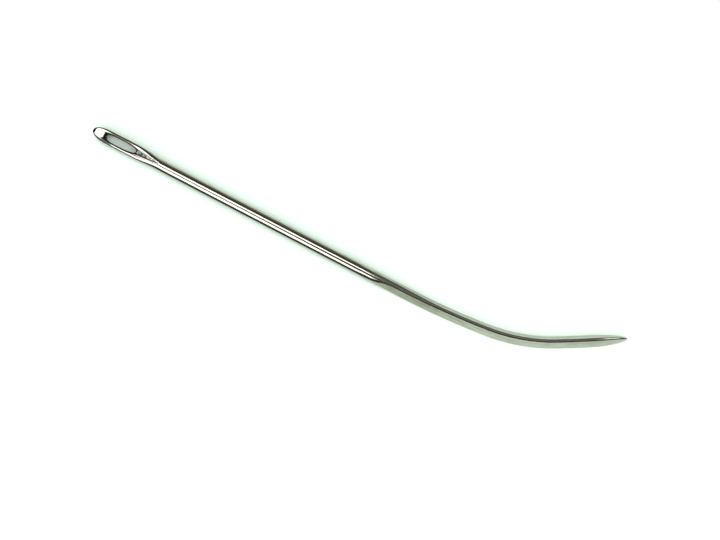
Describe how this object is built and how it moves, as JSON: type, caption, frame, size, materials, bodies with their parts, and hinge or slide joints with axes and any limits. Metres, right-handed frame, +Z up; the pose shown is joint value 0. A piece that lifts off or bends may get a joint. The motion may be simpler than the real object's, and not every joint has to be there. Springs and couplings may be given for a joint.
{
  "type": "bent-tip weaving needle",
  "caption": "Long steel needle with a flattened head, a slotted thread eye, a round shank and a three-sided blade that bends sideways to a sharp point.",
  "frame": {"origin": "on the surface the needle lies on, under the middle of its bounding box", "axes": "+X along the straight shank, from the head to the point; +Y the side the blade bends to; +Z up, away from the flat base of the blade"},
  "size_m": [0.1262, 0.0156, 0.0027],
  "materials": {
    "plated_steel": "polished"
  },
  "bodies": {
    "root": {"needle": "plated_steel"}
  },
  "joints": []
}
